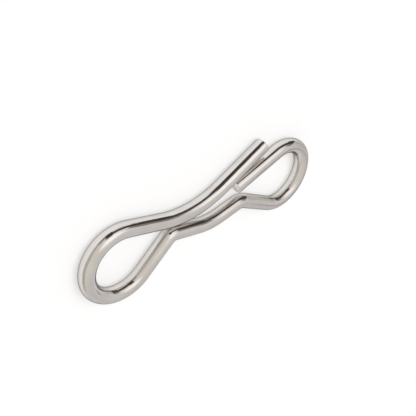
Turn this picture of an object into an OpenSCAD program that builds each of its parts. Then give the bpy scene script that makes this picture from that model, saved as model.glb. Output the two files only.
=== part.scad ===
// Spring locking pin: one length of round spring wire, bent flat into a loop at each end.
// The shank goes through a cross hole in a shaft, and the clasp leg wraps round the outside of that shaft.
// The wire runs taut round a row of bending pegs, so each bend is a true arc and each run between is straight.
// The pin lies on its side. X is along its length, Z is up, and the origin is under the middle of its outline.

/* [Wire] */
// Diameter of the spring wire
wire_d = 2.5; // [1.6:0.1:3.2]
// Loss of diameter where the wire is drawn round a bend
bend_thinning = 0.02; // [0.02:0.01:0.08]
// Edge break on the two cut ends
end_break = 0.1; // [0.05:0.05:0.5]

/* [Spring loop] */
// Inside diameter of the loop that joins the shank to the clasp leg
spring_loop_d = 8.45; // [6:0.05:11]
// Length of the straight run from the loop to the long bend of the shank
neck_l = 6.25; // [4:0.05:9]
// Fall of that run towards the middle of the pin, in degrees
neck_angle = 17.7; // [12:0.1:24]

/* [Shank] */
// Inside radius of the long bend
shank_bend_r = 14.95; // [10:0.05:20]
// Length of the straight run from the long bend to the tip
shank_l = 9.6; // [6:0.1:14]
// Rise of that run towards the tip, in degrees
shank_angle = 24.3; // [19:0.1:32]

/* [Clasp leg] */
// Gap between the waist and the long bend of the shank
waist_gap = 0.15; // [0.05:0.05:0.5]
// Distance of the waist from the long bend's low point, along the pin
waist_offset = 3.15; // [1:0.05:5]
// Inside radius of the waist
waist_r = 0.35; // [0.2:0.05:1.5]
// Length of the straight run from the waist to the cradle
waist_l = 4.9; // [3:0.1:8]
// Fall of that run, in degrees
waist_angle = 15.3; // [10:0.1:22]
// Inside radius of the cradle, which bears on the shaft
cradle_r = 9.3; // [6:0.1:14]
// Length of the straight run from the cradle to the kink
cradle_l = 3.5; // [2:0.1:6]
// Rise of that run, in degrees
cradle_angle = 8.9; // [4:0.1:14]
// Inside radius of the kink
kink_r = 1.6; // [0.5:0.1:3]
// Length of the straight run from the kink to the latch loop
kink_l = 6.65; // [5.5:0.05:10]
// Fall of that run, in degrees
kink_angle = 30.5; // [24:0.1:38]

/* [Latch loop] */
// Inside diameter of the loop that turns the clasp leg back to the shank
latch_loop_d = 8.25; // [6:0.05:9.5]
// Distance from the long bend to the place on the shank where the return leg ends
latch_station = 2.1; // [1:0.1:5]
// Gap between the end of the return leg and the shank
latch_gap = 0.05; // [0.02:0.01:0.3]

/* [Hidden] */
$fn = 72;
wire_r = wire_d / 2;
bend_wire_r = wire_r - bend_thinning / 2;
// Length by which a bend reaches into the straight run at each of its ends
bend_lap = 0.05;

// A peg is [x, y, radius of the wire's centre line, turn]. Turn is 1 to the left and -1 to the right.
// A cut end of the wire is a peg with no radius.
function place(p) = [p.x, p.y];
function swing(p) = p[2] * p[3];
function ahead(heading) = [cos(heading), sin(heading)];
function beside(heading) = [sin(heading), -cos(heading)];

// Point where the wire leaves or meets a peg on a given heading
function contact(p, heading) = place(p) + swing(p) * beside(heading);

// Peg at the other end of a straight run from the peg p. A negative length goes back along the wire.
function follow(p, heading, length, radius, turn) =
  let (centre = contact(p, heading) + length * ahead(heading) - radius * turn * beside(heading))
  [centre.x, centre.y, radius, turn];

// Heading and length of the straight run between two pegs
function span(p, q) = place(q) - place(p);
function shift(p, q) = swing(q) - swing(p);
function run_heading(p, q) = atan2(span(p, q).y, span(p, q).x) - asin(shift(p, q) / norm(span(p, q)));
function run_length(p, q) = sqrt(norm(span(p, q)) ^ 2 - shift(p, q) ^ 2);

// Angle from one heading to the next, counted in the direction of the turn
function turned(from, to, turn) = ((to - from) * turn % 360 + 360) % 360;

// Headings along the wire, which starts at the tip of the shank
shank_heading = 180 + shank_angle;
neck_heading = 180 - neck_angle;

spring_loop = [0, 0, spring_loop_d / 2 + wire_r, 1];
shank_bend = follow(spring_loop, neck_heading, -neck_l, shank_bend_r + wire_r, -1);
tip = follow(shank_bend, shank_heading, -shank_l, 0, 1);

// The waist lies its gap below the long bend, with half a wire on either side of that gap
waist_reach = shank_bend[2] + waist_r + wire_r + wire_d + waist_gap;
waist_drop = sqrt(waist_reach ^ 2 - waist_offset ^ 2);
waist = [shank_bend.x - waist_offset, shank_bend.y - waist_drop, waist_r + wire_r, -1];
cradle = follow(waist, -waist_angle, waist_l, cradle_r + wire_r, 1);
kink = follow(cradle, cradle_angle, cradle_l, kink_r + wire_r, -1);
latch_loop = follow(kink, -kink_angle, kink_l, latch_loop_d / 2 + wire_r, 1);

// The return leg ends below the shank, with half a wire on either side of the latch gap
station = follow(shank_bend, shank_heading, -latch_station, 0, 1);
return_centre = place(station) - (wire_d + latch_gap) * beside(shank_heading);
return_end = [return_centre.x, return_centre.y, 0, 1];

pegs = [tip, shank_bend, spring_loop, waist, cradle, kink, latch_loop, return_end];
last = len(pegs) - 1;
headings = [for (i = [0 : last - 1]) run_heading(pegs[i], pegs[i + 1])];

// Outline of the pin
left_edge = -spring_loop[2] - bend_wire_r;
right_edge = latch_loop.x + latch_loop[2] + bend_wire_r;
bottom_edge = min(-spring_loop[2], latch_loop.y - latch_loop[2]) - bend_wire_r;
top_edge = tip.y - end_break * sin(shank_angle) + wire_r * cos(shank_angle);
middle = [left_edge + right_edge, bottom_edge + top_edge] / 2;

// Straight run along X from the origin, with an edge break of the given size at each end
module straight(length, start_cut, end_cut) {
  rotate([90, 0, 90])
    rotate_extrude()
      polygon([
        [0, 0],
        [wire_r - start_cut, 0],
        [wire_r, start_cut],
        [wire_r, length - end_cut],
        [wire_r - end_cut, length],
        [0, length]
      ]);
}

// Bend round the peg p from one heading to the next, with a lap at each end
module bend(p, from, to) {
  lap = bend_lap / p[2] * 180 / PI;
  start = p[3] > 0 ? from - 90 : to + 90;
  translate(place(p))
    rotate(start - lap)
      rotate_extrude(angle = turned(from, to, p[3]) + 2 * lap)
        translate([p[2], 0])
          circle(r = bend_wire_r);
}

module spring_wire() {
  color("silver")
    translate([-middle.x, -middle.y, wire_r]) {
      for (i = [0 : last - 1])
        translate(contact(pegs[i], headings[i]))
          rotate(headings[i])
            straight(
              run_length(pegs[i], pegs[i + 1]),
              i == 0 ? end_break : 0,
              i == last - 1 ? end_break : 0
            );
      for (i = [1 : last - 1])
        bend(pegs[i], headings[i - 1], headings[i]);
    }
}

spring_wire();
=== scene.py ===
import math
from collections import namedtuple

import bpy
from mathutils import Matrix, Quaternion, Vector


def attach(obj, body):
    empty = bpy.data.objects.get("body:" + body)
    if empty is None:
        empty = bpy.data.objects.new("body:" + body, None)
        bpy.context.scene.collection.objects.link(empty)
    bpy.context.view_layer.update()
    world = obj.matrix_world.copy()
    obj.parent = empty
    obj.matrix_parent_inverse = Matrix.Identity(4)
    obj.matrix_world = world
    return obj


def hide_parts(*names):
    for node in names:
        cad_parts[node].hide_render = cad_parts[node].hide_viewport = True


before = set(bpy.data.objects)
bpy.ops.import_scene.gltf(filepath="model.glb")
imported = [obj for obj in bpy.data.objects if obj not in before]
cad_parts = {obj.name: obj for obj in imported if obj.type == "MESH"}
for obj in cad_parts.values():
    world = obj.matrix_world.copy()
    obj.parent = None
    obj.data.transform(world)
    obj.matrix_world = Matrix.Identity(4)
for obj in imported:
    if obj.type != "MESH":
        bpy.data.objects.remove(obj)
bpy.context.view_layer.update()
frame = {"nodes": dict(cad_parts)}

scene = bpy.context.scene
scene.view_settings.view_transform = "Standard"
print("CAD frame loaded:", ", ".join(frame["nodes"]))

mm = 0.001


# camera: three-quarter view from above, turned on its own axis as the photograph is
camera = {
    "aim": (0.21 * mm, 0.01 * mm, 1.25 * mm),
    "away": 94.72 * mm,
    "azimuth": 220.81,
    "elevation": 35.25,
    "roll": 124.9,
    "sensor": 36,
    "lens": 53.57,
    "clip": (1 * mm, 20),
}


def placeCamera():
    azimuth = math.radians(camera["azimuth"])
    elevation = math.radians(camera["elevation"])
    back = Vector((
        math.sin(azimuth) * math.cos(elevation),
        -math.cos(azimuth) * math.cos(elevation),
        math.sin(elevation),
    ))
    bpy.ops.object.camera_add(location=Vector(camera["aim"]) + back * camera["away"])
    eye = bpy.context.object
    eye.name = "mainCamera"
    upright = (-back).to_track_quat("-Z", "Y")
    roll = Quaternion((0, 0, 1), math.radians(camera["roll"]))  # about the line of sight
    eye.rotation_mode = "QUATERNION"
    eye.rotation_quaternion = upright @ roll
    eye.data.sensor_width = camera["sensor"]
    eye.data.lens = camera["lens"]
    eye.data.clip_start, eye.data.clip_end = camera["clip"]
    scene.camera = eye


bpy.ops.object.select_all(action="DESELECT")
placeCamera()
print("camera placed")


# shader maths: a socket that takes part in Python expressions
class Wired:
    def __init__(self, tree, socket=None):
        self.tree = tree
        self.socket = socket

    # any node: its settings first, then the values or links of its sockets, by name or number
    def node(self, kind, settings=None, sockets=None, output=0):
        made = self.tree.nodes.new(kind)
        for name, value in (settings or {}).items():
            setattr(made, name, value)
        for name, value in (sockets or {}).items():
            if isinstance(value, Wired):
                self.tree.links.new(value.socket, made.inputs[name])
            else:
                made.inputs[name].default_value = value
        return Wired(self.tree, made.outputs[output] if made.outputs else None)

    def math(self, operation, *values):
        return self.node("ShaderNodeMath", {"operation": operation}, dict(enumerate((self,) + values)))

    def __add__(self, other):
        return self.math("ADD", other)

    def __sub__(self, other):
        return self.math("SUBTRACT", other)

    def __rsub__(self, other):
        return self.math("MULTIPLY_ADD", -1, other)

    def __mul__(self, other):
        return self.math("MULTIPLY", other)

    __radd__ = __add__
    __rmul__ = __mul__

    # 0 at low, 1 at high, with soft ends
    def ease(self, low, high):
        return self.node(
            "ShaderNodeMapRange",
            {"interpolation_type": "SMOOTHSTEP"},
            {"Value": self, "From Min": low, "From Max": high},
        )

    # from the first colour at 0 to the second at 1; a Mix node's colours are its sockets 6 and 7
    def blend(self, first, second, mode="MIX"):
        settings = {"data_type": "RGBA", "blend_type": mode}
        return self.node("ShaderNodeMix", settings, {"Factor": self, 6: first, 7: second}, 2)

    # how far a vector goes in a direction
    def towards(self, direction):
        settings = {"operation": "DOT_PRODUCT"}
        return self.node("ShaderNodeVectorMath", settings, {0: self, 1: direction}, "Value")

    # noise at a place that is stretched along, across and up, with its scale to the metre
    def noise(self, stretch, scale, detail, roughness):
        place = self.node("ShaderNodeVectorMath", {"operation": "MULTIPLY"}, {0: self, 1: stretch})
        sockets = {"Vector": place, "Scale": scale, "Detail": detail, "Roughness": roughness}
        return self.node("ShaderNodeTexNoise", None, sockets)


def colour(red, green, blue):
    return (red, green, blue, 1)


# new material with an empty tree
def blankMaterial(name):
    made = bpy.data.materials.new(name)
    made.use_nodes = True
    made.node_tree.nodes.clear()
    return made, Wired(made.node_tree)


# spring wire: sizes in millimetres and degrees, the same as in the part's source
pin = {
    "wire": 2.5,
    "bendThinning": 0.02,
    "endBreak": 0.1,
    "springLoop": 8.45,
    "neck": 6.25,
    "neckAngle": 17.7,
    "shankBend": 14.95,
    "shank": 9.6,
    "shankAngle": 24.3,
    "waistGap": 0.15,
    "waistOffset": 3.15,
    "waistBend": 0.35,
    "waist": 4.9,
    "waistAngle": 15.3,
    "cradleBend": 9.3,
    "cradle": 3.5,
    "cradleAngle": 8.9,
    "kinkBend": 1.6,
    "kink": 6.65,
    "kinkAngle": 30.5,
    "latchLoop": 8.25,
    "latchStation": 2.1,
    "latchGap": 0.05,
    # from here on, the mesh alone
    "around": 64,
    "runStep": 1.2,
    "fewestRunSteps": 2,
    "bendStep": 2.0,
    "fewestBendSteps": 8,
    "faceRings": (0.15, 0.4, 0.7, 1),  # shares of the cut face's radius
    "faceDepth": 0.01,  # how far back from the end the cut finish reaches
    "rimSteps": 6,
    "weld": 0.001,
    "crease": 40,
}
half = pin["wire"] / 2

# a peg's radius is that of the wire's centre line round it; its turn is 1 to the left, -1 to the right
# a cut end of the wire counts as a peg with no radius
Peg = namedtuple("Peg", "centre radius turn")


def ahead(heading):
    return Vector((math.cos(math.radians(heading)), math.sin(math.radians(heading))))


def beside(heading):
    return Vector((math.sin(math.radians(heading)), -math.cos(math.radians(heading))))


# point where the wire leaves or meets a peg on a given heading
def contact(peg, heading):
    return peg.centre + peg.radius * peg.turn * beside(heading)


# peg at the other end of a straight run; a negative length goes back along the wire
def follow(peg, heading, length, radius, turn):
    finish = contact(peg, heading) + length * ahead(heading)
    return Peg(finish - radius * turn * beside(heading), radius, turn)


def bendingPegs():
    shankHeading = 180 + pin["shankAngle"]
    springLoop = Peg(Vector((0, 0)), pin["springLoop"] / 2 + half, 1)
    shankBend = follow(springLoop, 180 - pin["neckAngle"], -pin["neck"], pin["shankBend"] + half, -1)
    tip = follow(shankBend, shankHeading, -pin["shank"], 0, 1)
    reach = shankBend.radius + pin["waistBend"] + half + pin["wire"] + pin["waistGap"]
    drop = math.sqrt(reach ** 2 - pin["waistOffset"] ** 2)
    waist = Peg(shankBend.centre - Vector((pin["waistOffset"], drop)), pin["waistBend"] + half, -1)
    cradle = follow(waist, -pin["waistAngle"], pin["waist"], pin["cradleBend"] + half, 1)
    kink = follow(cradle, pin["cradleAngle"], pin["cradle"], pin["kinkBend"] + half, -1)
    latchLoop = follow(kink, -pin["kinkAngle"], pin["kink"], pin["latchLoop"] / 2 + half, 1)
    station = follow(shankBend, shankHeading, -pin["latchStation"], 0, 1)
    returnEnd = Peg(station.centre - (pin["wire"] + pin["latchGap"]) * beside(shankHeading), 0, 1)
    # the origin goes under the middle of the outline
    thin = half - pin["bendThinning"] / 2
    rise = math.radians(pin["shankAngle"])
    left = -springLoop.radius - thin
    right = latchLoop.centre.x + latchLoop.radius + thin
    bottom = min(-springLoop.radius, latchLoop.centre.y - latchLoop.radius) - thin
    top = tip.centre.y - pin["endBreak"] * math.sin(rise) + half * math.cos(rise)
    middle = Vector((left + right, bottom + top)) / 2
    pegs = [tip, shankBend, springLoop, waist, cradle, kink, latchLoop, returnEnd]
    return [Peg(peg.centre - middle, peg.radius, peg.turn) for peg in pegs]


# straight runs and bends in turn, with the length of wire before each
def wireRoute():
    pegs = bendingPegs()
    headings = []
    for first, second in zip(pegs, pegs[1:]):
        span = second.centre - first.centre
        shift = second.radius * second.turn - first.radius * first.turn
        headings.append(math.degrees(math.atan2(span.y, span.x) - math.asin(shift / span.length)))
    route = []
    for i, heading in enumerate(headings):
        start = contact(pegs[i], heading)
        finish = contact(pegs[i + 1], heading)
        length = (finish - start).length
        route.append({"kind": "run", "start": start, "heading": heading, "length": length})
        if i + 1 < len(headings):
            peg = pegs[i + 1]
            angle = (headings[i + 1] - heading) * peg.turn % 360
            length = math.radians(angle) * peg.radius
            route.append({"kind": "bend", "start": finish, "length": length, "peg": peg, "angle": angle})
    travelled = 0
    for leg in route:
        leg["travelled"] = travelled
        travelled += leg["length"]
    return route


def wireLength(route):
    return route[-1]["travelled"] + route[-1]["length"]


# rings of a cut end, from its middle out: distance back from the end, radius
def endRings():
    ease = pin["endBreak"]
    rings = [(0, share * (half - ease)) for share in pin["faceRings"]]
    for i in range(1, pin["rimSteps"] + 1):
        swing = math.radians(90 * i / pin["rimSteps"])
        rings.append((ease * (1 - math.cos(swing)), half - ease + ease * math.sin(swing)))
    return rings


# place in the scene of a point in the plane of the bends
def spot(point):
    return (point.x * mm, point.y * mm, half * mm)


def drawOut(length, heading):
    step = ahead(heading) * length * mm
    bpy.ops.mesh.extrude_edges_move(TRANSFORM_OT_translate={"value": (step.x, step.y, 0)})


def resizeRing(factor, centre):
    bpy.ops.transform.resize(value=(factor, factor, factor), center_override=spot(centre))


def bendWire(route):
    first, last = route[0], route[-1]
    rings = endRings()
    bpy.ops.object.select_all(action="DESELECT")
    bpy.ops.mesh.primitive_circle_add(
        vertices=pin["around"],
        radius=rings[0][1] * mm,
        fill_type="NGON",
        location=spot(first["start"]),
        rotation=(math.pi / 2, 0, math.radians(first["heading"] + 90)),
    )
    piece = bpy.context.object
    piece.name = "springWire"
    bpy.ops.object.transform_apply(location=True, rotation=True, scale=True)
    bpy.ops.object.mode_set(mode="EDIT")
    bpy.ops.mesh.select_mode(type="EDGE")
    bpy.ops.mesh.select_all(action="SELECT")
    # tip: the cut face, then its eased rim
    for inner, outer in zip(rings, rings[1:]):
        drawOut(outer[0] - inner[0], first["heading"])
        place = first["start"] + ahead(first["heading"]) * outer[0]
        resizeRing(outer[1] / inner[1], place)
    # straight runs are drawn out, bends are spun round their pegs
    for leg in route:
        if leg["kind"] == "run":
            length = leg["length"] - rings[-1][0] * ((leg is first) + (leg is last))
            steps = max(pin["fewestRunSteps"], round(length / pin["runStep"]))
            for i in range(steps):
                drawOut(length / steps, leg["heading"])
        else:
            bpy.ops.mesh.spin(
                steps=max(pin["fewestBendSteps"], round(leg["angle"] / pin["bendStep"])),
                angle=-leg["peg"].turn * math.radians(leg["angle"]),
                center=spot(leg["peg"].centre),
                axis=(0, 0, 1),
            )
    # end of the return leg: its eased rim, then the cut face
    for outer, inner in zip(rings[::-1], rings[-2::-1]):
        drawOut(outer[0] - inner[0], last["heading"])
        place = last["start"] + ahead(last["heading"]) * (last["length"] - inner[0])
        resizeRing(inner[1] / outer[1], place)
    bpy.ops.mesh.edge_face_add()
    bpy.ops.mesh.select_all(action="SELECT")
    bpy.ops.mesh.remove_doubles(threshold=pin["weld"] * mm)
    bpy.ops.mesh.normals_make_consistent(inside=False)
    bpy.ops.object.mode_set(mode="OBJECT")
    bpy.ops.object.shade_smooth_by_angle(angle=math.radians(pin["crease"]))
    return piece


# a flat point beside one leg: along the leg, across it, and how far on its peg's side
def besideLeg(flat, leg):
    if leg["kind"] == "run":
        offset = flat - leg["start"]
        return offset.dot(ahead(leg["heading"])), -offset.dot(beside(leg["heading"])), 0
    peg = leg["peg"]
    offset = flat - peg.centre
    begin = leg["start"] - peg.centre
    swept = math.atan2(begin.x * offset.y - begin.y * offset.x, begin.dot(offset)) * peg.turn
    unswept = 2 * math.pi - math.radians(leg["angle"])
    if swept < -unswept / 2:
        swept += 2 * math.pi
    inwards = peg.radius - offset.length
    return swept * peg.radius, inwards * peg.turn, max(0, inwards / half)


# where a point of the bent wire lay while the wire was straight, and how far it is on a peg's side
def asDrawn(point, route):
    flat = Vector((point.x, point.y)) / mm
    nearest = math.inf
    tie = 1e-6  # on the ring between two legs, the first of them counts
    for leg in route:
        along, across, inside = besideLeg(flat, leg)
        beyond = max(0, -along, along - leg["length"])
        distance = math.hypot(beyond, across)
        if distance < nearest - tie:
            nearest = distance
            place = Vector(((leg["travelled"] + along) * mm, across * mm, point.z - half * mm))
            pegSide = inside
    return place, pegSide


def markSurface(piece, route):
    mesh = piece.data
    mesh.attributes.new("asDrawn", "FLOAT_VECTOR", "POINT")
    mesh.attributes.new("pegSide", "FLOAT", "POINT")
    mesh.attributes.new("cutEnd", "FLOAT", "POINT")
    # looked up by name only now, because each new attribute moves the ones before it
    drawn = mesh.attributes["asDrawn"].data
    pressed = mesh.attributes["pegSide"].data
    cut = mesh.attributes["cutEnd"].data
    length = wireLength(route)
    rim = half - pin["endBreak"] / 2
    for vertex in mesh.vertices:
        place, inside = asDrawn(vertex.co, route)
        out = math.hypot(place.y, place.z) / mm
        toEnd = min(place.x / mm, length - place.x / mm)
        drawn[vertex.index].vector = place
        pressed[vertex.index].value = inside
        cut[vertex.index].value = 1 if toEnd < pin["faceDepth"] and out < rim else 0


# bright drawn and polished spring steel, with paler matte faces where it was sheared
steel = {
    "pale": colour(0.77, 0.745, 0.71),
    "deep": colour(0.70, 0.675, 0.64),
    "outlineTintPaintedShade": colour(0.36, 0.35, 0.34),  # polished steel mirrors a little less near its outline; this tint is set much darker than that, and paints a dark shade along the outline
    "burnished": colour(0.95, 0.93, 0.885),
    "sheared": colour(0.88, 0.86, 0.81),
    "torn": colour(0.56, 0.545, 0.51),
    "tearLength": 0.5,
    "polish": 0.06,
    "shearedRoughness": 0.36,
    "relief": 0.45,
    "reliefHeight": 0.016,
    # noise of each mark: stretch along, across and up the drawn wire, scale, detail, roughness
    "marks": {
        "hairLines": ((0.02, 1, 1), 9000, 3, 0.5),  # from the die
        "broadLines": ((0.05, 1, 1), 2200, 2, 0.5),
        "cloud": ((1, 1, 1), 420, 3, 0.5),  # slow change in the polish
        "swell": ((0.5, 1, 1), 900, 1, 0.5),  # the surface is never quite true
        "nicks": ((0.25, 1, 1), 2600, 1, 0.5),
        "rub": ((1, 0.3, 0.3), 5200, 2, 0.5),  # from the bending pegs
        "grain": ((1, 1, 1), 6500, 3, 0.6),  # on the cut faces
        "tears": ((1, 1, 0.12), 3600, 2, 0.5),
    },
    # values between which a mark goes from none to full
    "edges": {
        "dullLines": (0.3, 0.7),
        "nicks": (0.70, 0.78),
        "pegSide": (0.55, 1.0),
        "rub": (0.35, 0.7),
        "pale": (0.35, 0.65),
        "sheared": (0.38, 0.62),
    },
    # what each mark adds to the colour, the roughness and the height
    "paleShares": {"broadLines": 0.55, "cloud": 0.45},
    "polishShares": {"dullLines": 0.07, "cloud": 0.03, "rub": 0.06, "nicks": 0.06},
    "wireHeights": {"hairLines": 0.8, "broadLines": 0.4, "swell": 1.0, "nicks": -0.6, "rub": -0.4},
    "shearedShares": {"grain": 0.6, "tears": 0.4},
    "matteShares": {"grain": 0.16},
    "faceHeights": {"grain": 2.2, "tears": 2.0},
}


def springSteel():
    made, tree = blankMaterial("springSteel")
    place = tree.node("ShaderNodeAttribute", {"attribute_name": "asDrawn"}, None, "Vector")
    cut = tree.node("ShaderNodeAttribute", {"attribute_name": "cutEnd"}, None, "Fac")
    pressed = tree.node("ShaderNodeAttribute", {"attribute_name": "pegSide"}, None, "Fac")
    edges = steel["edges"]
    marks = {name: place.noise(*noise) for name, noise in steel["marks"].items()}
    marks["dullLines"] = marks["hairLines"].ease(*edges["dullLines"])
    marks["nicks"] = marks["nicks"].ease(*edges["nicks"])
    marks["rub"] = pressed.ease(*edges["pegSide"]) * marks["rub"].ease(*edges["rub"])

    def added(shares):
        return sum(share * marks[name] for name, share in shares.items())

    # polished wire
    bright = added(steel["paleShares"]).ease(*edges["pale"]).blend(steel["deep"], steel["pale"])
    polish = steel["polish"] + added(steel["polishShares"])
    # cut faces: burnished where the blade went in, torn where the wire broke off
    tearLength = steel["tearLength"] * mm
    ragged = tearLength * (marks["tears"] - 0.5)  # the noise swings about a half
    bladeSide = place.towards((0, 0, 1)) + ragged
    broken = added(steel["shearedShares"]).ease(*edges["sheared"]).blend(steel["torn"], steel["sheared"])
    face = bladeSide.ease(0, tearLength).blend(broken, steel["burnished"])
    matte = steel["shearedRoughness"] + added(steel["matteShares"])
    bump = tree.node("ShaderNodeBump", None, {
        "Strength": steel["relief"],
        "Distance": steel["reliefHeight"] * mm,
        "Height": added(steel["wireHeights"]) * (1 - cut) + added(steel["faceHeights"]) * cut,
    })
    finish = {
        "Base Color": cut.blend(bright, face),
        "Metallic": 1.0,
        "Roughness": polish * (1 - cut) + matte * cut,
        "Normal": bump,
    }
    # only the polished wire has the darker outline, partly painted shade from its dark edge tint
    polished = tree.node("ShaderNodeBsdfPrincipled", None, {**finish, "Specular Tint": steel["outlineTintPaintedShade"]})
    sheared = tree.node("ShaderNodeBsdfPrincipled", None, finish)
    shader = tree.node("ShaderNodeMixShader", None, {0: cut, 1: polished, 2: sheared})
    tree.node("ShaderNodeOutputMaterial", None, {"Surface": shader})
    return made


route = wireRoute()
wirePiece = bendWire(route)
markSurface(wirePiece, route)
wirePiece.data.materials.clear()
wirePiece.data.materials.append(springSteel())
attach(wirePiece, "root")
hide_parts("spring_wire")
print("wire bent:", len(wirePiece.data.polygons), "faces,", round(wireLength(route), 2), "mm of wire")


# studio: white table, one broad soft lamp, cards round the table; sizes in metres
studio = {
    "table": 2.4,
    "tableColour": colour(0.54, 0.55, 0.56),
    "tableGlow": 0.45,
    "lampPlace": (0.26, 0.78, 1.86),
    "lampWidth": 1.8,
    "lampPower": 14.0,
    "lampColour": (1.0, 0.97, 0.94),
    "cardsAway": 0.4,
}

# cards for the metal to mirror: degrees round the table from and to, degrees up from and to, tone
darkGlass = colour(0.08, 0.075, 0.07)
cards = {
    "windowLeft": (17, 38, 0, 29, darkGlass),
    "blind": (12, 38, 29, 43, colour(0.38, 0.36, 0.36)),
    "windowTop": (35, 86, 11, 34, darkGlass),
    "windowRight": (84, 104, 0, 43, darkGlass),
    "curtain": (101, 124, 0, 20, colour(0.42, 0.39, 0.36)),
    "shelf": (128, 212, 23, 29, colour(0.58, 0.54, 0.49)),
    "skirtingBack": (124, 200, 0, 4, colour(0.45, 0.41, 0.36)),
    "skirtingSide": (200, 280, 0, 4, colour(0.50, 0.46, 0.42)),
    "post": (316, 322, 22, 34, colour(0.42, 0.40, 0.39)),
}

# the room round it: tones, the sides they lie on, and where each goes from none to full
room = {
    "cream": colour(0.78, 0.745, 0.70),
    "ceiling": colour(0.775, 0.745, 0.745),
    "ceilingSide": (0.75, 0.55, 0.35),
    "ceilingEdge": (0.0, 0.7),
    "shaded": colour(0.67, 0.657, 0.673),
    "shadedSide": (0.4, -0.9, 0),
    "shadedEdge": (0.2, 0.9),
    "low": colour(0.456, 0.44, 0.425),
    "lowShaded": colour(0.90, 0.88, 0.89),
    "lowEdge": (0.1, 0.6),
    "lampGlow": colour(0.48, 0.455, 0.46),
    "lampGlowEdge": (0.86, 1.0),
    "sweep": colour(1, 1, 1),
    "sweepEdge": (0.07, 0.13),
}


# the glow lifts the table to white, in the picture and in the metal alike, and leaves the shadow on it
def tableFinish():
    made, tree = blankMaterial("tableWhite")
    shader = tree.node("ShaderNodeBsdfDiffuse", None, {"Color": studio["tableColour"]})
    seen = tree.node("ShaderNodeLightPath", None, None, "Is Camera Ray")
    mirrored = tree.node("ShaderNodeLightPath", None, None, "Is Glossy Ray")
    through = tree.node("ShaderNodeLightPath", None, None, "Is Transmission Ray")
    glow = (seen + mirrored + through) * studio["tableGlow"]
    light = tree.node("ShaderNodeEmission", None, {"Color": colour(1, 1, 1), "Strength": glow})
    both = tree.node("ShaderNodeAddShader", None, {0: shader, 1: light})
    tree.node("ShaderNodeOutputMaterial", None, {"Surface": both})
    return made


def layTable():
    bpy.ops.object.select_all(action="DESELECT")
    bpy.ops.mesh.primitive_plane_add(size=studio["table"])
    table = bpy.context.object
    table.name = "table"
    table.data.materials.append(tableFinish())


def cardFinish(name, tone):
    made, tree = blankMaterial(name)
    shader = tree.node("ShaderNodeBsdfDiffuse", None, {"Color": tone})
    tree.node("ShaderNodeOutputMaterial", None, {"Surface": shader})
    return made


def standCard(name, left, right, bottom, top, tone):
    away = studio["cardsAway"]
    middle = (left + right) / 2
    low = away * math.tan(math.radians(bottom))
    high = away * math.tan(math.radians(top))
    place = ahead(middle) * away
    bpy.ops.object.select_all(action="DESELECT")
    bpy.ops.mesh.primitive_plane_add(
        size=1,
        location=(place.x, place.y, (low + high) / 2),
        rotation=(math.pi / 2, 0, math.radians(middle + 90)),
    )
    card = bpy.context.object
    card.name = name
    card.scale = (2 * away * math.tan(math.radians(right - left) / 2), high - low, 1)
    bpy.ops.object.transform_apply(location=True, rotation=True, scale=True)
    card.visible_camera = False
    card.visible_diffuse = False
    card.visible_shadow = False
    card.data.materials.append(cardFinish(name + "Tone", tone))


def hangLamp():
    bpy.ops.object.light_add(type="AREA", location=studio["lampPlace"])
    lamp = bpy.context.object
    lamp.name = "softLamp"
    lamp.data.size = studio["lampWidth"]
    lamp.data.energy = studio["lampPower"]
    lamp.data.color = studio["lampColour"]
    lamp.rotation_euler = (-Vector(studio["lampPlace"])).to_track_quat("-Z", "Y").to_euler()
    lamp.visible_glossy = False  # the metal mirrors the room's glow there instead


def paleRoom():
    world = bpy.data.worlds.new("paleRoom")
    scene.world = world
    world.use_nodes = True
    world.node_tree.nodes.clear()
    tree = Wired(world.node_tree)
    way = tree.node("ShaderNodeTexCoord", None, None, "Generated")
    height = way.towards((0, 0, 1))
    # cream walls, a pinkish white ceiling on the side of the windows, other tones near the table
    ceiling = way.towards(room["ceilingSide"]).ease(*room["ceilingEdge"])
    upper = ceiling.blend(room["cream"], room["ceiling"])
    shade = way.towards(room["shadedSide"]).ease(*room["shadedEdge"])
    walls = shade.blend(upper, room["shaded"])
    low = 1 - height.ease(*room["lowEdge"])
    around = low.blend(walls, shade.blend(room["low"], room["lowShaded"]))
    # soft glow round the lamp, and a white sweep where the table ends
    lampWay = Vector(studio["lampPlace"]).normalized()
    glow = way.towards(lampWay).ease(*room["lampGlowEdge"])
    lit = glow.blend(around, room["lampGlow"], "ADD")
    sweep = 1 - height.ease(*room["sweepEdge"])
    tone = sweep.blend(lit, room["sweep"])
    sky = tree.node("ShaderNodeBackground", None, {"Color": tone})
    tree.node("ShaderNodeOutputWorld", None, {"Surface": sky})


layTable()
for name, card in cards.items():
    standCard(name, *card)
hangLamp()
paleRoom()
print("studio lit")
